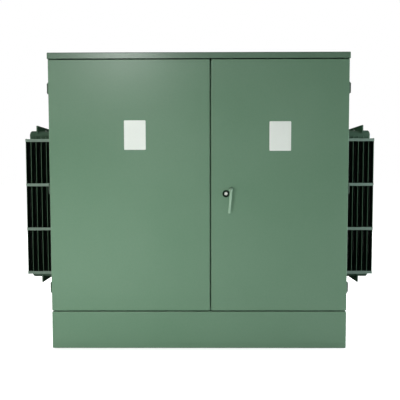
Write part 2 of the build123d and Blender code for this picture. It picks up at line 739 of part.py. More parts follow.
def ground_pads():
    """Two-hole ground pads at the foot of the front plate, one in each compartment."""
    half = GROUND_PAD_WIDTH / 2
    front = PLATE_Y - GROUND_PAD_DEPTH
    pads = []
    for x in (HV_ROOM[0] + GROUND_SIDE_ROOM, LV_ROOM[0] + GROUND_BESIDE_BARRIER):
        pad = block((x - half, x + half), (front, PLATE_Y), (GROUND_Z, GROUND_Z + GROUND_PAD_HEIGHT))
        for z in spread(2, GROUND_HOLE_PITCH, GROUND_Z + GROUND_PAD_HEIGHT / 2):
            pad -= drill((x, front, z), (0, 1, 0), GROUND_HOLE_D, GROUND_PAD_DEPTH)
        pads.append(pad)
    return pads


def save(name, shape):
    """Write one named piece, or several like ones that share a name."""
    pieces = shape if isinstance(shape, list) else [shape]
    export_step(Compound(children=pieces) if len(pieces) > 1 else pieces[0], f"parts/{name}.step")


def mirrored(shapes):
    """Left-hand copies of right-hand pieces."""
    return [mirror(shape, Plane.YZ) for shape in shapes]


def main():
    os.makedirs("parts", exist_ok=True)
    left_x = (-HALF, SEAM_X - SEAM_GAP / 2)
    right_x = (SEAM_X + SEAM_GAP / 2, HALF)
    hinge_levels = between(HINGE_COUNT, HINGE_ENDS)
    side = cabinet_side()
    brackets = [hinge_bracket(z) for z in hinge_levels]
    leaves = [hinge_leaf(z) for z in hinge_levels]
    pieces = {
        "cabinet_right_side": side,
        "cabinet_left_side": mirror(side, Plane.YZ),
        "cabinet_roof": cabinet_roof(),
        "cabinet_top_rail": top_rail(),
        "cabinet_sill": pan((-HALF, HALF), (0, SILL_HEIGHT), DOOR_DEPTH + HINGE_GAP),
        "compartment_barrier": compartment_barrier(),
        "right_hinge_brackets": brackets,
        "left_hinge_brackets": mirrored(brackets),
        "right_door_hinge_leaves": leaves,
        "left_door_hinge_leaves": mirrored(leaves),
        "left_door_panel": door(left_x),
        "left_door_stiffeners": door_stiffeners(left_x),
        "right_door_panel": right_door(right_x),
        "right_door_stiffeners": door_stiffeners(right_x),
        "handle_boss": handle_boss(),
        "handle_lever": handle_lever(),
        "bolt_cup": bolt_cup(),
        "lock_bolt": lock_bolt(),
        "tank_body": tank_body(),
        "tank_front_plate": tank_front_plate(),
        "tank_cover": tank_cover(),
        "tank_skids": tank_skids(),
        "tank_rear_ribs": tank_rear_ribs(),
        "lifting_lugs": lifting_lugs(),
        "hv_bushings": hv_bushings(),
        "lv_bushings": lv_bushings(),
        "lv_spades": lv_spades(),
        "hv_fuse_holders": hv_fuse_holders(),
        "tap_changer": tap_changer(),
        "tank_gauges": tank_gauges(),
        "drain_valve": drain_valve(),
        "ground_pads": ground_pads(),
    }
    for bank, y in BANK_Y.items():
        made = {"panels": radiator_panels(y), "headers": radiator_headers(y), "straps": radiator_straps(y)}
        for kind, shapes in made.items():
            pieces[f"right_{bank}_radiator_{kind}"] = shapes
            pieces[f"left_{bank}_radiator_{kind}"] = mirrored(shapes)
    ties = radiator_ties()
    pieces["right_radiator_ties"] = ties
    pieces["left_radiator_ties"] = mirrored(ties)
    for name, shape in pieces.items():
        save(name, shape)


main()
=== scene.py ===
# %% [markdown]
# # A pad-mounted power transformer
#
# The solids of this transformer come finished from the frame: cabinet, doors, tank and radiators.
# This lesson gives them their looks. Before each step a few sentences say what the piece or finish is
# on the real object, how it could be made, and why it is made this way.
# First the frame is loaded. Nothing added later may make the object larger.

# %% Load the frame
import json
import math

import bmesh
import bpy
import numpy as np
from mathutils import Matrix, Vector


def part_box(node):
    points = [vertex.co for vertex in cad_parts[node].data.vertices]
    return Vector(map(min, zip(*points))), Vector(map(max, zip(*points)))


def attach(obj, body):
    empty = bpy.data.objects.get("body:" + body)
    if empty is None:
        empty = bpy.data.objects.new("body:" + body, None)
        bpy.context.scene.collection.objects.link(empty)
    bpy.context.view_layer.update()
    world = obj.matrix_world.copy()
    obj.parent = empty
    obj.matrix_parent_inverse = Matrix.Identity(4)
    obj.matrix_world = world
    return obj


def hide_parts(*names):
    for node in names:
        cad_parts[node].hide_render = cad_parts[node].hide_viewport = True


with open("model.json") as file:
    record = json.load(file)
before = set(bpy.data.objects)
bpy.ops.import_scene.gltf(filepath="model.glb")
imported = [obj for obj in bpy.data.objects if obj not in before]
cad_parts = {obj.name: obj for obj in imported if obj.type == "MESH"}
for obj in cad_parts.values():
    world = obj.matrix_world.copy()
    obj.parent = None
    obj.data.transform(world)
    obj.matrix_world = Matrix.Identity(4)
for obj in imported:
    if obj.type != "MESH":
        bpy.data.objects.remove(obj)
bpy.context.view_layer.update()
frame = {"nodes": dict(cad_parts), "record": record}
nodes = frame["nodes"]

# %% [markdown]
# ## Camera
#
# The transformer is seen almost straight from the front, from the height of the door handle. A camera
# could be set by eye, but the edges of the cabinet and of the radiators behind it fix it: their widths and
# their convergence give the distance, the tilt and a turn of a third of a degree. No lens shift is needed.

# %% Set the camera
EYE = (0.0228, -3.421, 1.0342)
LENS_MM = 40.6
SENSOR_MM = 36
TILT_DOWN = math.radians(2.844)
LEAN = math.radians(0.1)
TURN_LEFT = math.radians(0.3235)

scene = bpy.context.scene
lens = bpy.data.cameras.new("front_camera")
lens.lens = LENS_MM
lens.sensor_width = SENSOR_MM
camera = bpy.data.objects.new("front_camera", lens)
camera.location = EYE
camera.rotation_euler = (math.pi / 2 - TILT_DOWN, LEAN, TURN_LEFT)
scene.collection.objects.link(camera)
scene.camera = camera
scene.view_settings.view_transform = "Standard"
print("camera at", EYE, "with a lens of", LENS_MM, "mm")

# %% [markdown]
# ## Tools for node trees
#
# Every finish below is a node tree. Making nodes line by line is long, so one helper makes a node,
# sets the plain values on its sockets and links the sockets that are given to it. Colours are written
# as the 0 to 255 values that a colour picker shows, and turned into linear light here.

# %% Node helpers
def linear(red, green, blue):
    """Linear colour of picker values: c / 12.92 up to 0.04045, and ((c + 0.055) / 1.055) ** 2.4 above."""
    c = np.array([red, green, blue]) / 255
    light = np.where(c <= 0.04045, c / 12.92, ((c + 0.055) / 1.055) ** 2.4)
    return (*light.tolist(), 1.0)


def empty_tree(owner):
    """Switch a material or a world to nodes, and clear the tree that it starts with."""
    owner.use_nodes = True
    owner.node_tree.nodes.clear()
    return owner.node_tree


def add_node(tree, kind, inputs=(), **settings):
    """Make a node; of its inputs, given by name or number, sockets are linked and values are set."""
    made = tree.nodes.new(kind)
    for name, value in settings.items():
        setattr(made, name, value)
    for key, value in dict(inputs).items():
        if isinstance(value, bpy.types.NodeSocket):
            tree.links.new(value, made.inputs[key])
        else:
            made.inputs[key].default_value = value
    return made


def calculate(tree, operation, first, second=0.0):
    """One step of arithmetic on one or two values or sockets."""
    return add_node(tree, "ShaderNodeMath", {0: first, 1: second}, operation=operation).outputs[0]


def mixed_colour(tree, share, first, second):
    """The first colour, changed into the second by a share from 0 to 1. A Mix node has sockets for every
    kind of data, and those for colours are its inputs 6 and 7 and its output 2."""
    inputs = {0: share, 6: first, 7: second}
    return add_node(tree, "ShaderNodeMix", inputs, data_type="RGBA").outputs[2]


def ranged(tree, value, low, high, new_low, new_high):
    """A value's range from low to high, carried onto a new range and held at its ends."""
    inputs = {"Value": value, "From Min": low, "From Max": high, "To Min": new_low, "To Max": new_high}
    return add_node(tree, "ShaderNodeMapRange", inputs).outputs["Result"]


print("node helpers are ready")

# %% [markdown]
# ## Floor and background
#
# The transformer stands on a white studio floor in front of white. Stronger lamps could bleach both, but
# they would bleach the paint too. Instead the Light Path node tells the rays apart: rays from the camera,
# and those that gloss or glass sends on, see white, and the rays that light the object see a weaker, even
# sky. For the rays that light the object, the floor is pale in front of the doors and near black behind
# them: a painted shade, which stands for the shade of the plant on its own yard. Right under the object its
# white fades, so that the ground behind the open doors and under the tank lies in shadow.

# %% Make the floor and the background
WHITE = (1, 1, 1, 1)
AMBIENT = 0.2
FLOOR_HALF = 60.0
FLOOR_GLOW = 0.9
FLOOR_PALE = 0.86
FLOOR_SHADE = 0.06
FLOOR_ROUGH = 0.95
SHADE_FROM, SHADE_TO = -0.9, -0.5
UNDER_X, UNDER_Y, UNDER_FADE = 0.75, 0.62, 0.2


def seen_rays(tree):
    """1 for camera, glossy and transmission rays, which show the background, and 0 for all the others,
    which light the object."""
    path = add_node(tree, "ShaderNodeLightPath").outputs
    mirrored = calculate(tree, "MAXIMUM", path["Is Glossy Ray"], path["Is Transmission Ray"])
    return calculate(tree, "MAXIMUM", path["Is Camera Ray"], mirrored)


world = bpy.data.worlds.new("studio_world")
scene.world = world
sky_tree = empty_tree(world)
sky_level = ranged(sky_tree, seen_rays(sky_tree), 0, 1, AMBIENT, 1.0)
sky = add_node(sky_tree, "ShaderNodeBackground", {"Color": WHITE, "Strength": sky_level})
add_node(sky_tree, "ShaderNodeOutputWorld", {"Surface": sky.outputs[0]})

floor_finish = bpy.data.materials.new("studio_floor")
floor_tree = empty_tree(floor_finish)
floor_seen = seen_rays(floor_tree)
floor_place = add_node(floor_tree, "ShaderNodeTexCoord").outputs["Object"]
floor_x, floor_y = add_node(floor_tree, "ShaderNodeSeparateXYZ", {0: floor_place}).outputs[:2]
beside = calculate(floor_tree, "SUBTRACT", calculate(floor_tree, "ABSOLUTE", floor_x), UNDER_X)
before = calculate(floor_tree, "SUBTRACT", calculate(floor_tree, "ABSOLUTE", floor_y), UNDER_Y)
clear = ranged(floor_tree, calculate(floor_tree, "MAXIMUM", beside, before), 0, UNDER_FADE, 0, FLOOR_GLOW)
glow = calculate(floor_tree, "MULTIPLY", floor_seen, clear)
# Painted shade: for the lighting rays the floor's colour turns near black from the doors backwards.
bounce_with_painted_shade = ranged(floor_tree, floor_y, SHADE_FROM, SHADE_TO, FLOOR_PALE, FLOOR_SHADE)
shown = calculate(floor_tree, "MULTIPLY", floor_seen, FLOOR_PALE)
floor_shader = add_node(floor_tree, "ShaderNodeBsdfPrincipled", {
    "Base Color": calculate(floor_tree, "MAXIMUM", bounce_with_painted_shade, shown),
    "Roughness": FLOOR_ROUGH,
    "Specular IOR Level": 0.0,
    "Emission Color": WHITE,
    "Emission Strength": glow,
})
add_node(floor_tree, "ShaderNodeOutputMaterial", {"Surface": floor_shader.outputs[0]})

floor_mesh = bpy.data.meshes.new("studio_floor")
floor_corners = np.array([(-1, -1, 0), (1, -1, 0), (1, 1, 0), (-1, 1, 0)]) * FLOOR_HALF
floor_mesh.from_pydata(floor_corners.tolist(), [], [(0, 1, 2, 3)])
floor_mesh.materials.append(floor_finish)
floor = bpy.data.objects.new("studio_floor", floor_mesh)
scene.collection.objects.link(floor)
print("stage: a floor of", 2 * FLOOR_HALF, "m and an even sky of", AMBIENT)

# %% [markdown]
# ## Lamps
#
# The light on the doors comes mostly from the front left: the left door is lighter than the right one, and
# lighter at its foot than at its top. One lamp could do that, but the turned-away sides would be black.
# So the main lamp stands low at the front left, a weak warm one at the far left, a cool one at the right,
# and two behind the object, which leave the doors alone. Only the far left lamp and the sheen lamp show in
# the gloss, because the others would draw bright flecks along the edges. The sheen lamp shows nowhere
# else: it stands for the patch of sky that makes the paint paler at the upper left.

# %% Set the lamps
WARM, PLAIN, COOL = (1.0, 0.97, 0.86), (1.0, 1.0, 1.0), (0.92, 0.97, 1.06)
LAMPS = {
    "far_left_lamp": {"place": (-3.8, -1.6, 1.4), "size": 2.4, "watts": 28, "tint": WARM},
    "sheen_lamp": {"place": (-0.95, -3.42, 2.67), "size": 1.0, "watts": 58, "tint": PLAIN},
    "main_lamp": {"place": (-0.85, -2.9, 0.0), "size": 1.6, "watts": 78, "tint": PLAIN},
    "right_lamp": {"place": (4.2, -0.8, 1.4), "size": 2.0, "watts": 130, "tint": COOL},
    "rear_left_lamp": {"place": (-4.2, 3.6, 3.2), "size": 2.4, "watts": 230, "tint": PLAIN},
    "rear_right_lamp": {"place": (4.2, 3.6, 3.2), "size": 2.4, "watts": 230, "tint": PLAIN},
}
SHOWN_IN_GLOSS = ("far_left_lamp", "sheen_lamp")
GLOSS_ALONE = ("sheen_lamp",)
AIM = Vector((0, -0.2, 0.8))

for lamp_name, lamp in LAMPS.items():
    light = bpy.data.lights.new(lamp_name, "AREA")
    light.shape = "DISK"
    light.size = lamp["size"]
    light.energy = lamp["watts"]
    light.color = lamp["tint"]
    holder = bpy.data.objects.new(lamp_name, light)
    scene.collection.objects.link(holder)
    holder.location = lamp["place"]
    away = Vector(lamp["place"]) - AIM
    holder.rotation_euler = away.to_track_quat("Z", "Y").to_euler()
    holder.visible_glossy = lamp_name in SHOWN_IN_GLOSS
    holder.visible_diffuse = lamp_name not in GLOSS_ALONE
print("lamps:", ", ".join(LAMPS))

# %% [markdown]
# ## Tools for shared effects
#
# Paint, enamel and rubber all have clouds and dust, and every metal has tarnish and grain. Written into
# each material, such an effect would be long and soon differ by mistake. So an effect is a node group: its
# inputs take each finish's own values, and it puts out a colour, a roughness and a normal that change over
# the surface. The shader itself stays in the material.

# %% Group helpers
COLOUR, NUMBER, ARROW = "NodeSocketColor", "NodeSocketFloat", "NodeSocketVector"
RESULTS = {"Color": COLOUR, "Roughness": NUMBER, "Normal": ARROW}
NOISE_LOW, NOISE_HIGH = 0.35, 0.65


def effect_group(name, inputs):
    """An empty shader group with the given inputs, and Color, Roughness and Normal as outputs."""
    group = bpy.data.node_groups.new(name, "ShaderNodeTree")
    for socket_name, (kind, value) in inputs.items():
        socket = group.interface.new_socket(socket_name, in_out="INPUT", socket_type=kind)
        socket.default_value = value
    for socket_name, kind in RESULTS.items():
        group.interface.new_socket(socket_name, in_out="OUTPUT", socket_type=kind)
    given = group.nodes.new("NodeGroupInput").outputs
    place = add_node(group, "ShaderNodeTexCoord").outputs["Object"]
    return group, given, place


def group_output(group, colour, roughness, normal):
    """Join the three results to the group's outputs."""
    add_node(group, "NodeGroupOutput", {"Color": colour, "Roughness": roughness, "Normal": normal})


def noise(tree, place, waves, detail):
    """Soft noise with a number of waves to the metre; each step of detail adds waves of half the length."""
    inputs = {"Vector": place, "Scale": waves, "Detail": detail}
    return add_node(tree, "ShaderNodeTexNoise", inputs).outputs["Fac"]


def clouded(tree, place, waves, detail):
    """Noise whose middle range, where most of its values lie, is stretched to run from 0 to 1."""
    return ranged(tree, noise(tree, place, waves, detail), NOISE_LOW, NOISE_HIGH, 0, 1)


def bumped(tree, height, depth, under=None):
    """A normal for a height from 0 to 1 and its depth in metres, laid over another normal if one is given."""
    inputs = {"Height": height, "Distance": depth, "Strength": 1.0}
    if under is not None:
        inputs["Normal"] = under
    return add_node(tree, "ShaderNodeBump", inputs).outputs["Normal"]


print("group helpers are ready")

# %% [markdown]
# ## Sprayed coat
#
# A sprayed coat is never one flat colour: it has faint clouds from the spray passes, a fine speckle, an
# orange-peel skin, slow waves of the sheet under it, and dust on what faces up. A picture of paint would
# show its edges and repeat. Noise in the object's own metres has no seams, and the same scale everywhere.

# %% Build the sprayed coat
CLOUDS = {"waves": 1.7, "detail": 4.0}
SPECKLE = {"waves": 90.0, "detail": 3.0}
DUST_PATCHES = {"waves": 6.0, "detail": 5.0}
SHEET_WAVES = {"waves": 2.3, "detail": 1.0}
ORANGE_PEEL = {"waves": 240.0, "detail": 2.0}
SPECKLE_SHARE = 0.5
CLOUD_GLOSS = 0.6
DUST_STARTS, DUST_FULL = 0.5, 0.95
PATCH_LOW, PATCH_HIGH, PATCH_LEAST = 0.3, 0.7, 0.35


def sprayed_coat():
    """Paint on sheet: clouds, speckle and dust are added up to the share of chalk in the paint, clouds and
    dust to the share of the rough value, and dust lies in patches where the normal points up."""
    group, given, place = effect_group("sprayed_coat", {
        "Paint": (COLOUR, (0.1, 0.2, 0.1, 1)),
        "Chalk": (COLOUR, (0.3, 0.3, 0.3, 1)),
        "Clouds": (NUMBER, 0.1),
        "Dust": (NUMBER, 0.2),
        "Smooth": (NUMBER, 0.35),
        "Rough": (NUMBER, 0.5),
        "Peel Depth": (NUMBER, 0.00002),
        "Wave Depth": (NUMBER, 0.0008),
    })
    clouds = clouded(group, place, **CLOUDS)
    speckle = clouded(group, place, **SPECKLE)
    normal = add_node(group, "ShaderNodeNewGeometry").outputs["Normal"]
    facing_up = add_node(group, "ShaderNodeSeparateXYZ", {0: normal}).outputs["Z"]
    upward = ranged(group, facing_up, DUST_STARTS, DUST_FULL, 0, 1)
    patches = ranged(group, noise(group, place, **DUST_PATCHES), PATCH_LOW, PATCH_HIGH, PATCH_LEAST, 1)
    dust = calculate(group, "MULTIPLY", calculate(group, "MULTIPLY", upward, patches), given["Dust"])
    tint = calculate(group, "ADD", clouds, calculate(group, "MULTIPLY", speckle, SPECKLE_SHARE))
    share = calculate(group, "ADD", calculate(group, "MULTIPLY", tint, given["Clouds"]), dust)
    tone = mixed_colour(group, share, given["Paint"], given["Chalk"])
    gloss_share = calculate(group, "ADD", calculate(group, "MULTIPLY", clouds, CLOUD_GLOSS), dust)
    gloss = ranged(group, gloss_share, 0, 1, given["Smooth"], given["Rough"])
    waves = bumped(group, noise(group, place, **SHEET_WAVES), given["Wave Depth"])
    skin = bumped(group, noise(group, place, **ORANGE_PEEL), given["Peel Depth"], waves)
    group_output(group, tone, gloss, skin)
    return group


COAT = sprayed_coat()
print("effect:", COAT.name, "of", len(COAT.nodes), "nodes")

# %% [markdown]
# ## Worked metal
#
# Bare or plated metal has cloudy tarnish and a fine grain from rolling or casting. A plain metal shader
# looks like chrome, so the tarnish changes its colour and dulls it, and the grain breaks its reflections.

# %% Build the worked metal
TARNISH = {"waves": 28.0, "detail": 5.0}
GRAIN = {"waves": 700.0, "detail": 2.0}
GRAIN_GLOSS = 0.5


def worked_metal():
    """Metal with a share of tarnish in clouds: grain and tarnish are added up to the share of the rough
    value, and the grain lifts the normal."""
    group, given, place = effect_group("worked_metal", {
        "Metal": (COLOUR, (0.6, 0.6, 0.6, 1)),
        "Tarnish": (COLOUR, (0.3, 0.3, 0.3, 1)),
        "Tarnish Share": (NUMBER, 0.4),
        "Smooth": (NUMBER, 0.25),
        "Rough": (NUMBER, 0.5),
        "Grain Depth": (NUMBER, 0.00003),
    })
    grain = noise(group, place, **GRAIN)
    share = calculate(group, "MULTIPLY", clouded(group, place, **TARNISH), given["Tarnish Share"])
    tone = mixed_colour(group, share, given["Metal"], given["Tarnish"])
    gloss_share = calculate(group, "ADD", calculate(group, "MULTIPLY", grain, GRAIN_GLOSS), share)
    gloss = ranged(group, gloss_share, 0, 1, given["Smooth"], given["Rough"])
    group_output(group, tone, gloss, bumped(group, grain, given["Grain Depth"]))
    return group


METAL = worked_metal()
print("effect:", METAL.name, "of", len(METAL.nodes), "nodes")

# %% [markdown]
# ## Green coats
#
# The enclosure has one green paint for outdoor plant, and its parts are given their own coats of it: the
# doors with a half gloss, the roof darker and smoother, the tank duller and the straps pale. The headers and
# their ties are matt and painted dark, and the hinges darkest: a painted shade for the shade they stand in.
# The handle's lever is painted pale, a painted highlight for the light on its round rod. One material for
# all would melt them together. Each coat places the group with its own values before a Principled BSDF. The
# specular level is the same all over a coat, so it stands on the shader's own socket.

# %% Mix the green coats
def finish(name, group, values, **fixed):
    """A material with one effect group in front of its shader; fixed values go on the shader's sockets."""
    material = bpy.data.materials.new(name)
    tree = empty_tree(material)
    effect = add_node(tree, "ShaderNodeGroup", node_tree=group)
    for socket, value in values.items():
        effect.inputs[socket].default_value = value
    shader = add_node(tree, "ShaderNodeBsdfPrincipled", {
        "Base Color": effect.outputs["Color"],
        "Roughness": effect.outputs["Roughness"],
        "Normal": effect.outputs["Normal"],
        **{socket.replace("_", " "): value for socket, value in fixed.items()},
    }, name="shader")
    add_node(tree, "ShaderNodeOutputMaterial", {"Surface": shader.outputs[0]})
    return material


DOOR_GREEN = linear(93, 126, 101)
ROOF_GREEN = linear(82, 111, 90)
STRAP_GREEN = linear(124, 143, 131)
# Painted highlight: the lever is coloured paler for the light on its round rod.
LEVER_HIGHLIGHT_GREEN = linear(146, 176, 152)
# Painted shade: the ties and headers are coloured darker for the shade they stand in.
TIE_SHADED_GREEN = linear(76, 102, 84)
# Painted shade: the hinges are coloured darkest for the shade on them.
HINGE_SHADED_GREEN = linear(52, 67, 56)
COAT_VALUES = {
    "Paint": DOOR_GREEN, "Chalk": linear(176, 190, 178), "Clouds": 0.035, "Dust": 0.16,
    "Smooth": 0.34, "Rough": 0.46,
}
HALF_GLOSS, DULL, MATT = 0.22, 0.08, 0.0


def paint(name, specular, **values):
    """A coat of the enclosure's paint with some values of its own, and a specular level on the shader."""
    return finish(name, COAT, {**COAT_VALUES, **values}, Specular_IOR_Level=specular)


cabinet_paint = paint("cabinet_paint", HALF_GLOSS)
tank_paint = paint("tank_paint", DULL, Clouds=0.06, Smooth=0.42, Rough=0.6)
roof_paint = paint("roof_paint", HALF_GLOSS, Paint=ROOF_GREEN, Smooth=0.26, Rough=0.4)
strap_paint = paint("strap_paint", DULL, Paint=STRAP_GREEN, Smooth=0.5, Rough=0.65)
lever_paint = paint("lever_paint", HALF_GLOSS, Paint=LEVER_HIGHLIGHT_GREEN, Smooth=0.25, Rough=0.4)
tie_paint = paint("tie_paint", MATT, Paint=TIE_SHADED_GREEN, Smooth=0.5, Rough=0.65)
hinge_paint = paint("hinge_paint", DULL, Paint=HINGE_SHADED_GREEN, Smooth=0.45, Rough=0.6)
print("coats:", ", ".join(material.name for material in bpy.data.materials if "_paint" in material.name))

# %% [markdown]
# ## Metals, resin and rubber
#
# The fittings are zinc plated steel, tinned copper, brass, cast epoxy, black gauge cases, white enamel and
# soft rubber. The locking bolt is coloured nearly white, a painted highlight for the glint on its head, and
# the cup round it near black, a painted shade for the shade in the recess. Metals take the metal group,
# and the rest the coat with its sheet waves set to nothing. Bare metal is fully metallic. The bolt's painted
# highlight lies in its diffuse colour, so little of it is metallic.

# %% Mix the other finishes
zinc_plate = finish("zinc_plate", METAL, {
    "Metal": linear(196, 200, 196), "Tarnish": linear(128, 132, 126), "Tarnish Share": 0.5,
    "Smooth": 0.24, "Rough": 0.46,
}, Metallic=1.0)
# Painted highlight: the bolt's near-white colour stands for the glint on its head.
bright_zinc = finish("bright_zinc", METAL, {
    "Metal": linear(226, 231, 223), "Tarnish": linear(184, 192, 182), "Tarnish Share": 0.4,
    "Smooth": 0.3, "Rough": 0.5,
}, Metallic=0.1)
tinned_copper = finish("tinned_copper", METAL, {
    "Metal": linear(208, 206, 198), "Tarnish": linear(150, 146, 136), "Tarnish Share": 0.5,
}, Metallic=1.0)
cast_brass = finish("cast_brass", METAL, {
    "Metal": linear(214, 176, 104), "Tarnish": linear(132, 98, 52), "Tarnish Share": 0.6,
    "Grain Depth": 0.0001,
}, Metallic=1.0)
grey_epoxy = finish("grey_epoxy", COAT, {
    "Paint": linear(84, 82, 80), "Chalk": linear(150, 148, 144), "Clouds": 0.08, "Dust": 0.1,
    "Smooth": 0.3, "Rough": 0.42, "Wave Depth": 0.0,
})
black_case = finish("black_case", COAT, {
    "Paint": linear(24, 24, 25), "Chalk": linear(90, 90, 90), "Clouds": 0.06, "Dust": 0.1,
    "Smooth": 0.35, "Rough": 0.5, "Wave Depth": 0.0,
})
seal_rubber = finish("seal_rubber", COAT, {
    "Paint": linear(16, 24, 19), "Chalk": linear(64, 70, 64), "Clouds": 0.12, "Dust": 0.2,
    "Smooth": 0.7, "Rough": 0.9, "Wave Depth": 0.0, "Peel Depth": 0.0001,
})
# Painted shade: the cup is coloured near black for the shade in its recess.
cup_shade = finish("cup_shade", COAT, {
    "Paint": linear(30, 52, 39), "Chalk": linear(80, 92, 82), "Clouds": 0.06, "Dust": 0.05,
    "Smooth": 0.6, "Rough": 0.8, "Wave Depth": 0.0,
}, Specular_IOR_Level=DULL)
white_enamel = finish("white_enamel", COAT, {
    "Paint": linear(224, 231, 224), "Chalk": linear(200, 206, 196), "Clouds": 0.12, "Dust": 0.1,
    "Smooth": 0.3, "Rough": 0.45, "Wave Depth": 0.0,
})
print("materials so far:", len(bpy.data.materials))

# %% [markdown]
# ## Finishes on the CAD pieces
#
# The record says which slot each node belongs to, so a small table from slot to finish dresses them all.
# Two more tables name what differs: whole nodes, such as the roof, and words in the nodes' names, such as
# straps and hinges. The first word that fits wins, so the special parts of a radiator stand before it.

# %% Dress the nodes
SLOT_FINISH = {
    "enclosure_paint": cabinet_paint,
    "plated_steel": zinc_plate,
    "terminal_metal": tinned_copper,
    "valve_brass": cast_brass,
    "epoxy": grey_epoxy,
    "gauge_case": black_case,
}
NODE_FINISH = {
    "bolt_cup": cup_shade,
    "lock_bolt": bright_zinc,
    "handle_lever": lever_paint,
    "cabinet_roof": roof_paint,
}
WORD_FINISH = {
    "radiator_straps": strap_paint,
    "radiator_ties": tie_paint,
    # The headers take the ties' coat with its painted shade.
    "radiator_headers": tie_paint,
    "hinge": hinge_paint,
    "radiator": tank_paint,
    "tank_body": tank_paint,
    "tank_cover": tank_paint,
    "tank_skids": tank_paint,
    "tank_rear": tank_paint,
    "lifting": tank_paint,
}

for row in frame["record"]["subparts"]:
    name = row["node"]
    by_word = [material for word, material in WORD_FINISH.items() if word in name]
    material = [*by_word, NODE_FINISH.get(name, SLOT_FINISH[row["material_slot"]])][0]
    data = nodes[name].data
    data.materials.clear()
    data.materials.append(material)

# %% [markdown]
# ## Tools for surfaces
#
# New pieces are surfaces worked out as whole arrays: points on a grid of rows and columns, and quads between
# neighbours. A turned surface swings a profile round an axis. Copies are one array of points plus an array
# of places. Blender's own cylinders and arrays would do for some, but formulas give every profile its form
# and keep all pieces in the frame's metres.

# %% Surface helpers
UP, DOWN, FRONT = (0, 0, 1), (0, 0, -1), (0, -1, 0)
NEARLY_UPRIGHT = 0.9


def grid_quads(rows, columns):
    """Corner numbers of the quads on a closed grid: point (i, j) has the number i * columns + j, and the
    last column is joined to the first."""
    i, j = np.meshgrid(np.arange(rows - 1), np.arange(columns), indexing="ij")
    beside = (j + 1) % columns
    corners = [i * columns + j, i * columns + beside, (i + 1) * columns + beside, (i + 1) * columns + j]
    return np.stack(corners, axis=-1).reshape(-1, 4)


def turned(profile, sides):
    """A surface of revolution about Z: at angle a, the profile's (r, z) lies at (r cos a, r sin a, z)."""
    radius, height = np.array(profile, float).T
    angle = np.arange(sides) * 2 * np.pi / sides
    x, y = np.outer(radius, np.cos(angle)), np.outer(radius, np.sin(angle))
    points = np.stack([x, y, np.repeat(height[:, None], sides, axis=1)], axis=-1)
    return points.reshape(-1, 3), grid_quads(len(radius), sides)


def turn_to(axis):
    """The rotation that carries +Z onto an axis: its columns are two directions square to the axis, and
    the axis."""
    axis = np.array(axis, float) / np.linalg.norm(axis)
    side = np.cross((0, 0, 1) if abs(axis[2]) < NEARLY_UPRIGHT else (0, 1, 0), axis)
    side /= np.linalg.norm(side)
    return np.stack([side, np.cross(axis, side), axis], axis=1)


def copies(shape, places, axis=UP):
    """One shape at many places: each point q becomes R q + place, with R the turn from +Z to the axis."""
    points, quads = shape
    places = np.array(places, float).reshape(-1, 1, 3)
    moved = (points @ turn_to(axis).T)[None] + places
    numbers = quads[None] + (np.arange(len(places)) * len(points))[:, None, None]
    return moved.reshape(-1, 3), numbers.reshape(-1, 4)


def joined(*shapes):
    """Several shapes as one: their points in a row, and their quads renumbered to match."""
    starts = np.cumsum([0] + [len(points) for points, quads in shapes[:-1]])
    renumbered = [quads + start for (points, quads), start in zip(shapes, starts)]
    return np.concatenate([points for points, quads in shapes]), np.concatenate(renumbered)


def on_line(first, second, third):
    """Rows of places from three coordinates, of which single numbers are repeated."""
    return np.stack(np.broadcast_arrays(first, second, third), axis=-1).astype(float)


def circle_places(middle, radius, count, axis):
    """Places round a circle that is square to an axis, at half a step and then at every whole step."""
    angle = (np.arange(count) + 0.5) * 2 * np.pi / count
    flat = np.stack([np.cos(angle), np.sin(angle), np.zeros(count)], axis=1) * radius
    return flat @ turn_to(axis).T + np.array(middle)


print("surface helpers are ready")

# %% [markdown]
# ## From a shape to a piece
#
# A shape is only two arrays until a mesh holds it. Vertices could be added one by one, but foreach_set
# hands over whole arrays at once. Then doubles are merged, which closes the seams and poles, the faces are
# turned outwards, and edges that bend more than a set angle stay sharp. The piece rides on a CAD body, so
# that it moves with the doors.

# %% Piece helper
MERGE_WITHIN = 2e-6
SHARP_ANGLE = 35
BEAD_ANGLE = 80


def add_piece(name, shape, material, body="transformer", crease=SHARP_ANGLE):
    """Put a shape into a mesh object at the origin, merge its doubles, face it outwards and let it ride."""
    points, quads = shape
    mesh = bpy.data.meshes.new(name)
    mesh.vertices.add(len(points))
    mesh.vertices.foreach_set("co", points.astype(np.float32).ravel())
    mesh.loops.add(quads.size)
    mesh.loops.foreach_set("vertex_index", quads.astype(np.int32).ravel())
    mesh.polygons.add(len(quads))
    mesh.polygons.foreach_set("loop_start", np.arange(0, quads.size, 4, dtype=np.int32))
    mesh.update(calc_edges=True)
    shell = bmesh.new()
    shell.from_mesh(mesh)
    bmesh.ops.remove_doubles(shell, verts=shell.verts, dist=MERGE_WITHIN)
    bmesh.ops.recalc_face_normals(shell, faces=shell.faces)
    shell.to_mesh(mesh)
    shell.free()
    mesh.shade_smooth()
    mesh.set_sharp_from_angle(angle=math.radians(crease))
    mesh.materials.append(material)
    made = bpy.data.objects.new(name, mesh)
    scene.collection.objects.link(made)
    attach(made, body)
    print(name, len(mesh.polygons), "faces")
    return made


print("pieces merge points within", MERGE_WITHIN, "m")

# %% [markdown]
# ## A pressed radiator panel
#
# A panel is two thin sheets welded at the edges, with upright flutes that carry the oil. The CAD flutes
# are plain tapered blocks. Here the half thickness is a smooth function of the place across and up the
# panel, so the flutes swell and fade as pressed sheet does. Subdividing a few blocks would round them too,
# but not end them on the round headers, whose circle the panel's ends follow.

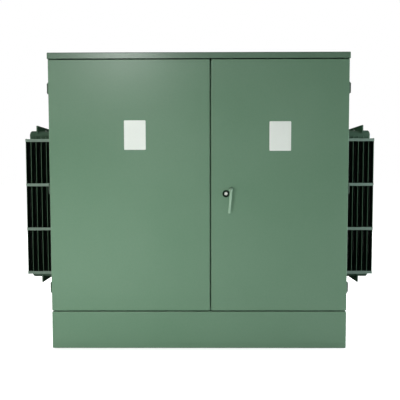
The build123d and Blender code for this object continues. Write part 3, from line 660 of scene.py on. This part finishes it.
# %% Shape one panel
SEAM_HALF = 0.0015
FLUTE_RISE = 0.004
FLUTE_COUNT = 4
FLUTE_PITCH = 0.068
FLUTE_WIDTH = 0.060
FLUTE_START = 0.048
FLUTE_FADE = 0.045
FLUTE_POWER = 0.6
HEADER_RADIUS = 0.0445
EDGE_COLUMNS = np.array([0, 0.0008, 0.0035, 0.009])
INNER_COLUMNS = 51
ROW_SHARES = np.array([0, 0, 0.004, 0.03, 0.042, 0.05, 0.058, 0.066, 0.074, 0.082, 0.092, 0.2, 0.35])


def smooth_step(t):
    """3 t^2 - 2 t^3 with t held from 0 to 1."""
    t = np.clip(t, 0, 1)
    return t * t * (3 - 2 * t)


def flute_height(across, above_end):
    """Share of the full rise: a power of the cosine over each flute, faded in above the panel's end."""
    middles = (np.arange(FLUTE_COUNT) - (FLUTE_COUNT - 1) / 2) * FLUTE_PITCH
    t = np.clip(np.abs(across[..., None] - middles) * 2 / FLUTE_WIDTH, 0, 1)
    ridge = (np.cos(t * np.pi / 2) ** FLUTE_POWER).sum(axis=-1)
    return ridge * smooth_step((above_end - FLUTE_START) / FLUTE_FADE)


def panel_shape(half_width, low, high, header_low, header_high):
    """A closed panel about X = 0: across runs from edge to edge on one face and back on the other, up runs
    between the ends, which are level or follow the header's circle, and x is plus or minus the half
    thickness, which is the seam's and the flutes' together."""
    inner = np.linspace(EDGE_COLUMNS[-1] - half_width, half_width - EDGE_COLUMNS[-1], INNER_COLUMNS)[1:-1]
    one_way = np.concatenate([EDGE_COLUMNS - half_width, inner, half_width - EDGE_COLUMNS[::-1]])
    across = np.concatenate([one_way, one_way[::-1]])
    side = np.repeat([1.0, -1.0], len(one_way))
    pipe = np.sqrt(np.clip(HEADER_RADIUS**2 - across**2, 0, None))
    bottom = np.maximum(low, header_low + pipe)
    top = np.minimum(high, header_high - pipe)
    share = np.concatenate([ROW_SHARES, 1 - ROW_SHARES[::-1]])[:, None]
    up = bottom + (top - bottom) * share
    end = np.minimum(up - low, high - up)
    rise = flute_height(np.broadcast_to(across, up.shape), end)
    half = SEAM_HALF + FLUTE_RISE * rise
    half[[0, -1]] = 0
    points = np.stack([half * side, np.broadcast_to(across, up.shape), up], axis=-1)
    return points.reshape(-1, 3), grid_quads(len(share), len(across))


print("a panel has", FLUTE_COUNT, "flutes that rise by", FLUTE_RISE, "m")

# %% [markdown]
# ## Stacks of panels
#
# Ten panels stand side by side in each radiator, close together. The shade between them is painted: each
# point carries an attribute that says how deep it lies behind the panels' edges, and the coat turns near
# black by it, a painted shade. The outermost face is open to view and stays green. The stacks stand for the
# CAD panels.

# %% Press and stack the panels
SIDES = {"left": -1, "right": 1}
BANKS = ("front", "rear")
RADIATORS = [(side, bank) for side in SIDES for bank in BANKS]
PANEL_COUNT = 10
PANEL_PITCH = 0.038
# A painted shade: the near-black green that the coat takes between the panels.
GAP_SHADE_GREEN = linear(14, 24, 18)
EDGE_SHADE = 0.3
EDGE_DARK = 0.0035


def fin_gap_shade_finish():
    """The tank's paint, mixed with near black by the attribute: a painted shade between the panels."""
    material = paint("fin_paint", DULL, Clouds=0.05, Smooth=0.42, Rough=0.6)
    tree = material.node_tree
    shader = tree.nodes["shader"]
    coat = shader.inputs["Base Color"].links[0].from_socket
    painted_gap_shade = add_node(tree, "ShaderNodeAttribute", attribute_name="painted_gap_shade").outputs["Fac"]
    tree.links.new(mixed_colour(tree, painted_gap_shade, coat, GAP_SHADE_GREEN), shader.inputs["Base Color"])
    return material


def header_axes(side, bank):
    """The Y of a radiator's two headers and the Z of the lower and of the upper one: their box less the
    radius of the flanges."""
    low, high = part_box(f"{side}_{bank}_radiator_headers")
    radius = (high.y - low.y) / 2
    return (low.y + high.y) / 2, low.z + radius, high.z - radius


def panel_places(side, bank):
    """The X of each panel in a stack, counted outwards from the tank."""
    low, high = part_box(f"{side}_{bank}_radiator_panels")
    inner_x = min(abs(low.x), abs(high.x)) + SEAM_HALF + FLUTE_RISE
    return SIDES[side] * (inner_x + np.arange(PANEL_COUNT) * PANEL_PITCH)


fin_paint = fin_gap_shade_finish()
for side, bank in RADIATORS:
    node = f"{side}_{bank}_radiator_panels"
    low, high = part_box(node)
    middle_y, half_width = (low.y + high.y) / 2, (high.y - low.y) / 2
    one = panel_shape(half_width, low.z, high.z, *header_axes(side, bank)[1:])
    x = panel_places(side, bank)
    stack = copies(one, on_line(x, middle_y, 0))
    panels = add_piece(f"{side}_{bank}_pressed_panels", stack, fin_paint)
    place = np.empty(len(panels.data.vertices) * 3, np.float32)
    panels.data.vertices.foreach_get("co", place)
    place = place.reshape(-1, 3)
    inside_edge = half_width - np.abs(place[:, 1] - middle_y)
    open_face = np.abs(place[:, 0]) > np.abs(x).max() + SEAM_HALF / 2
    # Painted shade: dark deep between the panels, a little at their edges, and none on the open face.
    painted_gap_shade = (EDGE_SHADE + (1 - EDGE_SHADE) * smooth_step(inside_edge / EDGE_DARK)) * ~open_face
    gap_shade_attribute = panels.data.attributes.new("painted_gap_shade", "FLOAT", "POINT")
    gap_shade_attribute.data.foreach_set("value", painted_gap_shade.astype(np.float32))
    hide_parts(node)

# %% [markdown]
# ## Bolts on the cover
#
# The tank's cover and the lid of its hand hole are bolted on. A bolt is two turned surfaces: a round
# washer, and a head with six sides and a bevelled top. One bolt is worked out and copied to all its
# places, above and below the rim, which keeps every head light.

# %% Fit the cover bolts
WASHER = np.array([(0, 0), (1.25, 0), (1.25, 0.2), (0, 0.2)])
HEAD = np.array([(0, 0.15), (1, 0.15), (1, 0.9), (0.84, 1.1), (0, 1.12)])
WASHER_SIDES, HEAD_SIDES = 24, 6
COVER_THICK = 0.008
RIM_THICK = 0.014
COVER_BOLT = {"across": 0.024, "height": 0.012}
COVER_PITCH = 0.145
SIDE_INSET = 0.075
REAR_INSET = 0.14
LID_CIRCLE = 0.19
LID_BOLTS = 16


def hex_bolt(across, height):
    """A washer under a head of six sides: both profiles, from the pole of the seat to the pole of the top,
    are shares of the corner radius, which is the width across over the root of 3, and of the height."""
    size = (across / math.sqrt(3), height)
    return joined(turned(WASHER * size, WASHER_SIDES), turned(HEAD * size, HEAD_SIDES))


def spaced(low, high, pitch):
    """Places from low to high at about a pitch."""
    return np.linspace(low, high, max(2, round((high - low) / pitch) + 1))


TANK_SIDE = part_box("right_front_radiator_headers")[0].x
TANK_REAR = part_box("tank_rear_ribs")[0].y
cover_low, cover_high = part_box("tank_cover")
body_low, body_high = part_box("tank_body")
COVER_TOP = body_high.z + COVER_THICK
RIM_BOTTOM = body_high.z - RIM_THICK
RIM_MIDDLE = (cover_high.x + TANK_SIDE) / 2
RIM_REAR = (cover_high.y + TANK_REAR) / 2
side_y = spaced(cover_low.y + SIDE_INSET, RIM_REAR, COVER_PITCH)
rear_x = spaced(-RIM_MIDDLE + REAR_INSET, RIM_MIDDLE - REAR_INSET, COVER_PITCH)
rim_places = np.concatenate([
    on_line(-RIM_MIDDLE, side_y, 0),
    on_line(RIM_MIDDLE, side_y, 0),
    on_line(rear_x, RIM_REAR, 0),
])
lid_middle = ((cover_low.x + cover_high.x) / 2, (body_low.y + TANK_REAR) / 2, cover_high.z)
cover_bolt = hex_bolt(**COVER_BOLT)
add_piece("cover_bolts", joined(
    copies(cover_bolt, rim_places + (0, 0, COVER_TOP)),
    copies(cover_bolt, rim_places + (0, 0, RIM_BOTTOM), DOWN),
    copies(cover_bolt, circle_places(lid_middle, LID_CIRCLE, LID_BOLTS, UP)),
), tank_paint)

# %% [markdown]
# ## Bolts on the headers and terminals
#
# Every header ends in a round flange on the tank, and the bushings, fuse holders and valve are clamped to
# the front plate. Their bolts stand on circles, so the same bolt is copied round each one's axis.

# %% Fit the flange and clamp bolts
FLANGE_THICK = 0.016
FLANGE_CIRCLE = 0.061
FLANGE_BOLTS = 6
FLANGE_BOLT = {"across": 0.019, "height": 0.010}
CLAMP_BOLTS = 4
CLAMP_HEAD = 0.55
CLAMPS = {
    "hv_bushings": {"count": 3, "flange": 0.014, "circle": 0.054, "across": 0.011},
    "lv_bushings": {"count": 4, "flange": 0.014, "circle": 0.055, "across": 0.014},
    "hv_fuse_holders": {"count": 3, "flange": 0.012, "circle": 0.036, "across": 0.008},
    "drain_valve": {
        "count": 1, "flange": 0.012, "circle": 0.037, "across": 0.014, "radius": 0.048, "z": 0.330,
    },
}
PLATE_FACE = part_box("tank_front_plate")[0].y

flange_bolts = []
for side, bank in RADIATORS:
    outward = (SIDES[side], 0, 0)
    header_y, *header_z = header_axes(side, bank)
    for z in header_z:
        middle = (SIDES[side] * (TANK_SIDE + FLANGE_THICK), header_y, z)
        places = circle_places(middle, FLANGE_CIRCLE, FLANGE_BOLTS, outward)
        flange_bolts.append(copies(hex_bolt(**FLANGE_BOLT), places, outward))
add_piece("header_flange_bolts", joined(*flange_bolts), tank_paint)

clamp_bolts = []
for node, clamp in CLAMPS.items():
    low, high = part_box(node)
    radius = clamp.get("radius", (high.z - low.z) / 2)
    z = clamp.get("z", (low.z + high.z) / 2)
    head = hex_bolt(clamp["across"], clamp["across"] * CLAMP_HEAD)
    for x in np.linspace(low.x + radius, high.x - radius, clamp["count"]):
        middle = (x, PLATE_FACE - clamp["flange"], z)
        clamp_bolts.append(copies(head, circle_places(middle, clamp["circle"], CLAMP_BOLTS, FRONT), FRONT))
add_piece("terminal_clamp_bolts", joined(*clamp_bolts), zinc_plate)

# %% [markdown]
# ## Weld beads on the tank
#
# The tank is welded from plate, and every seam has a rippled bead. A displacement on the plates could show
# it, but a bead is its own form: a small ring carried along the seam, a little wider at every second step,
# and drawn to a point at both ends.

# %% Lay the beads on the tank
BEAD = 0.0045
LUG_BEAD = BEAD * 0.8
RIB_BEAD = BEAD * 0.7
BEAD_STEP = 0.006
BEAD_SWELL = 0.22
BEAD_SIDES = 6
LEAST_STEPS = 5
CORNER_INSET = 0.025
FOOT_INSET = 0.02
LUG_HALF = 0.009
RIB_HALF = 0.055
RIB_COUNT = 4


def bead(path, radius):
    """A ring of 6 points of radius r, or 1.22 r at every second step, carried square to the path's points."""
    path = np.array(path, float)
    along = np.gradient(path, axis=0)
    along /= np.linalg.norm(along, axis=1, keepdims=True)
    square = np.eye(3)[np.abs(along).max(axis=0).argmin()]
    side = np.cross(along, square)
    side /= np.linalg.norm(side, axis=1, keepdims=True)
    over = np.cross(along, side)
    size = radius * (1 + BEAD_SWELL * (np.arange(len(path)) % 2))
    size[[0, -1]] = 0
    angle = np.arange(BEAD_SIDES) * 2 * np.pi / BEAD_SIDES
    ring = side[:, None] * np.cos(angle)[:, None] + over[:, None] * np.sin(angle)[:, None]
    points = path[:, None] + ring * size[:, None, None]
    return points.reshape(-1, 3), grid_quads(len(path), BEAD_SIDES)


def straight_bead(start, end, radius):
    """A bead on a straight seam, with a point at every step."""
    start, end = np.array(start, float), np.array(end, float)
    count = max(LEAST_STEPS, round(np.linalg.norm(end - start) / BEAD_STEP))
    return bead(start + (end - start) * np.linspace(0, 1, count)[:, None], radius)


lug_low, lug_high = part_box("lifting_lugs")
rib_low, rib_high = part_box("tank_rear_ribs")
rear_end = TANK_REAR - CORNER_INSET
side_end = TANK_SIDE - CORNER_INSET
foot = body_low.z + FOOT_INSET
beads = []
for x in (-TANK_SIDE, TANK_SIDE):
    beads.append(straight_bead((x, body_low.y, RIM_BOTTOM), (x, rear_end, RIM_BOTTOM), BEAD))
    beads.append(straight_bead((x, body_low.y, foot), (x, body_low.y, RIM_BOTTOM), BEAD))
    for lug_y in (lug_low.y + LUG_HALF, lug_high.y - LUG_HALF):
        for y in (lug_y - LUG_HALF, lug_y + LUG_HALF):
            beads.append(straight_bead((x, y, lug_low.z), (x, y, lug_high.z), LUG_BEAD))
beads.append(straight_bead((-side_end, TANK_REAR, RIM_BOTTOM), (side_end, TANK_REAR, RIM_BOTTOM), BEAD))
for rib_x in np.linspace(rib_low.x + RIB_HALF, rib_high.x - RIB_HALF, RIB_COUNT):
    for x in (rib_x - RIB_HALF, rib_x + RIB_HALF):
        beads.append(straight_bead((x, TANK_REAR, rib_low.z), (x, TANK_REAR, rib_high.z), RIB_BEAD))
add_piece("tank_weld_beads", joined(*beads), tank_paint, crease=BEAD_ANGLE)

# %% [markdown]
# ## Weld beads on the headers
#
# Each panel is welded into its two headers along half a circle. The bead that followed straight seams
# follows these arcs too, because it only needs the points of its path.

# %% Lay the beads on the headers
HEADER_BEAD = 0.003
ARC_POINTS = 24

half_turn = np.linspace(0, np.pi, ARC_POINTS)
arc_y = HEADER_RADIUS * np.cos(half_turn)
arc_z = HEADER_RADIUS * np.sin(half_turn)
for side in SIDES:
    rings = []
    for bank in BANKS:
        header_y, lower, upper = header_axes(side, bank)
        for x in panel_places(side, bank):
            rings.append(bead(on_line(x, header_y + arc_y, lower + arc_z), HEADER_BEAD))
            rings.append(bead(on_line(x, header_y + arc_y, upper - arc_z), HEADER_BEAD))
    beads = joined(*rings)
    add_piece(f"{side}_header_weld_beads", beads, tank_paint, crease=BEAD_ANGLE)

# %% [markdown]
# ## Bare plates on the doors
#
# Each door carries a thin white enamel plate, left bare here. A plate is a rounded rectangle whose outline
# is a superellipse, and its rows step from the seat over a soft rim to the middle. A bevelled box would
# look alike, but this keeps the rim's form in two short lists.

# %% Fix the plates
PLATE_WIDTH, PLATE_HEIGHT, PLATE_THICK = 0.128, 0.174, 0.0012
PLATE_PLACES = {"left_door": (-0.3785, 1.2866), "right_door": (0.4833, 1.2793)}
PLATE_GAP = 0.0002
CORNER_POWER = 0.05
OUTLINE_POINTS = 96
RIM_WIDTHS = np.array([0, 1, 1, 0.985, 0.96, 0.5, 0])
RIM_LEVELS = np.array([0, 0, 0.55, 1, 1, 1, 1])


def rounded_plate(width, height, thick):
    """Rings of one outline, drawn in step by step: at angle a the outline is |cos a|^p and |sin a|^p with
    their signs, where p is small, scaled to the half width and half height."""
    angle = (np.arange(OUTLINE_POINTS) + 0.5) * 2 * np.pi / OUTLINE_POINTS
    x = np.sign(np.cos(angle)) * np.abs(np.cos(angle)) ** CORNER_POWER * width / 2
    y = np.sign(np.sin(angle)) * np.abs(np.sin(angle)) ** CORNER_POWER * height / 2
    draw = RIM_WIDTHS[:, None]
    level = RIM_LEVELS[:, None] * thick
    points = np.stack([x * draw, y * draw, level + 0 * x], axis=-1)
    return points.reshape(-1, 3), grid_quads(len(draw), len(angle))


door_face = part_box("left_door_panel")[0].y
plate = rounded_plate(PLATE_WIDTH, PLATE_HEIGHT, PLATE_THICK)
for body, (x, z) in PLATE_PLACES.items():
    add_piece(f"{body}_bare_plate", copies(plate, (x, door_face - PLATE_GAP, z), FRONT), white_enamel, body)

# %% [markdown]
# ## Door seals
#
# A soft rubber strip is glued to the stops behind the doors' edges and shows as a dark line in the gaps.
# Its section is half an ellipse, and its path goes up one stop, across under the roof and down the other.
# A bevelled curve could do this, but at its corners the strip would grow thin.

# %% Glue the seals
SEAL_WIDTH, SEAL_DEPTH = 0.012, 0.0065
SEAL_INSET = 0.010
SEAL_DROP = 0.012
SEAL_LIFT = 0.008
SEAL_POINTS = 9


def seal_strip(corners, stop_y):
    """Half an ellipse carried along a path of corners in the plane of the stop: at each corner the section
    stands on the line that halves the angle between its two runs."""
    corners = np.array(corners, float)
    runs = np.diff(corners, axis=0)
    runs /= np.linalg.norm(runs, axis=1, keepdims=True)
    square = np.stack([-runs[:, 1], runs[:, 0]], axis=1)
    before, after = np.vstack([square[:1], square]), np.vstack([square, square[-1:]])
    across = (before + after) / (1 + (before * after).sum(axis=1, keepdims=True))
    angle = np.linspace(0, np.pi, SEAL_POINTS)
    offset = np.cos(angle) * SEAL_WIDTH / 2
    depth = np.sin(angle) * SEAL_DEPTH
    flat = corners[:, None] + across[:, None] * offset[:, None]
    points = np.stack([flat[..., 0], np.broadcast_to(stop_y - depth, flat.shape[:2]), flat[..., 1]], axis=-1)
    ends = np.stack([points[0].mean(axis=0), points[-1].mean(axis=0)])[:, None].repeat(len(angle), axis=1)
    rows = np.concatenate([ends[:1], points, ends[1:]])
    return rows.reshape(-1, 3), grid_quads(len(rows), len(angle))


stop_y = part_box("cabinet_top_rail")[0].y
seal_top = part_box("left_door_panel")[1].z - SEAL_DROP
seal_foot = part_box("cabinet_sill")[1].z + SEAL_LIFT
for side in SIDES:
    low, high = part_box(f"{side}_door_panel")
    first, last = low.x + SEAL_INSET, high.x - SEAL_INSET
    path = [(first, seal_foot), (first, seal_top), (last, seal_top), (last, seal_foot)]
    add_piece(f"{side}_door_seal", seal_strip(path, stop_y), seal_rubber)

# %% [markdown]
# ## Gauges
#
# Three dial gauges sit on the tank's front plate: level, temperature and pressure. Each has a white
# dial under a bezel, a ring of plain marks and a needle. The marks could be a pattern in the material, but
# thin plates copied round a circle stay crisp at any distance.

# %% Set the dials
GAUGE_COUNT = 3
GAUGE_SIDES, HUB_SIDES = 48, 24
DIAL = [(0, 0), (0.041, 0), (0.041, 0.0006), (0, 0.0006)]
BEZEL = [(0.041, 0), (0.0478, 0), (0.0478, 0.002), (0.045, 0.0034), (0.041, 0.0012), (0.041, 0)]
HUB = [(0, 0.0006), (0.005, 0.0006), (0.004, 0.0022), (0, 0.0024)]
MARK_ANGLES = np.radians(np.linspace(-45, 225, 28))
MARK_RING, MARK_LEVEL = 0.038, 0.0006
MARK_WIDTH, MARK_THICK = 0.0011, 0.0004
SHORT_MARK, LONG_MARK, LONG_EVERY = 0.004, 0.007, 9
NEEDLE = {"length": 0.031, "width": 0.0022, "thick": 0.0006}
NEEDLE_LEVEL = 0.0008
NEEDLE_ANGLES = np.radians([150, 120, 95])


def bar(length, width, thick):
    """A thin plate along X from 0 to its length: rings of 4 corners from end to end, closed by poles."""
    corner = np.array([(-1, 0), (1, 0), (1, 1), (-1, 1)]) * (width / 2, thick)
    x = np.array([0, 0, length, length])[:, None]
    open_ends = np.array([0, 1, 1, 0])[:, None]
    points = np.stack([x + 0 * corner[:, 0], corner[:, 0] * open_ends, corner[:, 1] * open_ends], axis=-1)
    return points.reshape(-1, 3), grid_quads(4, 4)


def spun(shape, angle):
    """A shape turned about Z by an angle: x cos a - y sin a, and x sin a + y cos a."""
    cosine, sine = math.cos(angle), math.sin(angle)
    return shape[0] @ np.array([(cosine, -sine, 0), (sine, cosine, 0), (0, 0, 1)]).T, shape[1]


def moved(shape, by):
    """A shape moved by a vector."""
    return shape[0] + np.array(by), shape[1]


gauge_low, gauge_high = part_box("tank_gauges")
gauge_radius = (gauge_high.z - gauge_low.z) / 2
gauge_x = np.linspace(gauge_low.x + gauge_radius, gauge_high.x - gauge_radius, GAUGE_COUNT)
gauge_places = on_line(gauge_x, gauge_low.y, (gauge_low.z + gauge_high.z) / 2)
marks = []
for number, angle in enumerate(MARK_ANGLES):
    length = SHORT_MARK if number % LONG_EVERY else LONG_MARK
    mark = moved(bar(length, MARK_WIDTH, MARK_THICK), (MARK_RING - length, 0, MARK_LEVEL))
    marks.append(spun(mark, angle))
hands = []
for angle, place in zip(NEEDLE_ANGLES, gauge_places):
    needle = moved(spun(bar(**NEEDLE), angle), (0, 0, NEEDLE_LEVEL))
    hands.append(copies(needle, place, FRONT))
add_piece("gauge_dials", copies(turned(DIAL, GAUGE_SIDES), gauge_places, FRONT), white_enamel)
bezels = copies(turned(BEZEL, GAUGE_SIDES), gauge_places, FRONT)
add_piece("gauge_bezels", bezels, black_case)
ink = joined(copies(joined(*marks, turned(HUB, HUB_SIDES)), gauge_places, FRONT), *hands)
add_piece("gauge_marks", ink, black_case)

# %% [markdown]
# ## Small fittings behind the doors
#
# The fuse holders end in pulling eyes, the tap changer has plain marks round its dial, and a domed head
# closes each hinge pin at both ends. All of them are turned or straight little shapes, copied to their
# places, because that is all the detail the real ones have.

# %% Add the small fittings
FUSE_COUNT = 3
EYE_RADIUS, EYE_ROD, EYE_REACH = 0.016, 0.0035, 0.013
EYE_SIDES, ROD_POINTS = 32, 13
TAP_PLATE = 0.006
TAP_MARK = {"length": 0.012, "width": 0.003, "thick": 0.0006}
TAP_RING = 0.042
TAP_ANGLES = np.radians(np.linspace(30, 150, 5))
HINGE_COUNT = 3
HINGE_LENGTH = 0.057
KNUCKLE_RADIUS = 0.010
PIN_HEAD = [(0, 0), (0.0075, 0), (0.0075, 0.0014), (0.0055, 0.0042), (0, 0.005)]
PIN_SIDES = 20


def eye_ring(radius, rod):
    """A ring about Z: the rod's circle (R + r cos b, r sin b) is the profile, closed on itself."""
    b = np.linspace(0, 2 * np.pi, ROD_POINTS)
    return turned(np.stack([radius + rod * np.cos(b), rod * np.sin(b)], axis=1), EYE_SIDES)


fuse_low, fuse_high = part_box("hv_fuse_holders")
fuse_radius = (fuse_high.z - fuse_low.z) / 2
fuse_x = np.linspace(fuse_low.x + fuse_radius, fuse_high.x - fuse_radius, FUSE_COUNT)
fuse_places = on_line(fuse_x, fuse_low.y - EYE_REACH, (fuse_low.z + fuse_high.z) / 2)
eyes = copies(eye_ring(EYE_RADIUS, EYE_ROD), fuse_places, (1, 0, 0))
add_piece("fuse_pulling_eyes", eyes, zinc_plate)

tap_low, tap_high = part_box("tap_changer")
tap_middle = ((tap_low.x + tap_high.x) / 2, PLATE_FACE - TAP_PLATE, (tap_low.z + tap_high.z) / 2)
tap_marks = [spun(moved(bar(**TAP_MARK), (TAP_RING, 0, 0)), angle) for angle in TAP_ANGLES]
add_piece("tap_changer_marks", copies(joined(*tap_marks), tap_middle, FRONT), white_enamel)

pin_head = turned(PIN_HEAD, PIN_SIDES)
pin_heads = []
for side in SIDES:
    low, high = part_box(f"{side}_hinge_brackets")
    pin_x = high.x - KNUCKLE_RADIUS if side == "right" else low.x + KNUCKLE_RADIUS
    pin_y = low.y + KNUCKLE_RADIUS
    for z in np.linspace(low.z, high.z - HINGE_LENGTH, HINGE_COUNT):
        pin_heads.append(copies(pin_head, (pin_x, pin_y, z + HINGE_LENGTH)))
        pin_heads.append(copies(pin_head, (pin_x, pin_y, z), DOWN))
add_piece("hinge_pin_heads", joined(*pin_heads), hinge_paint)
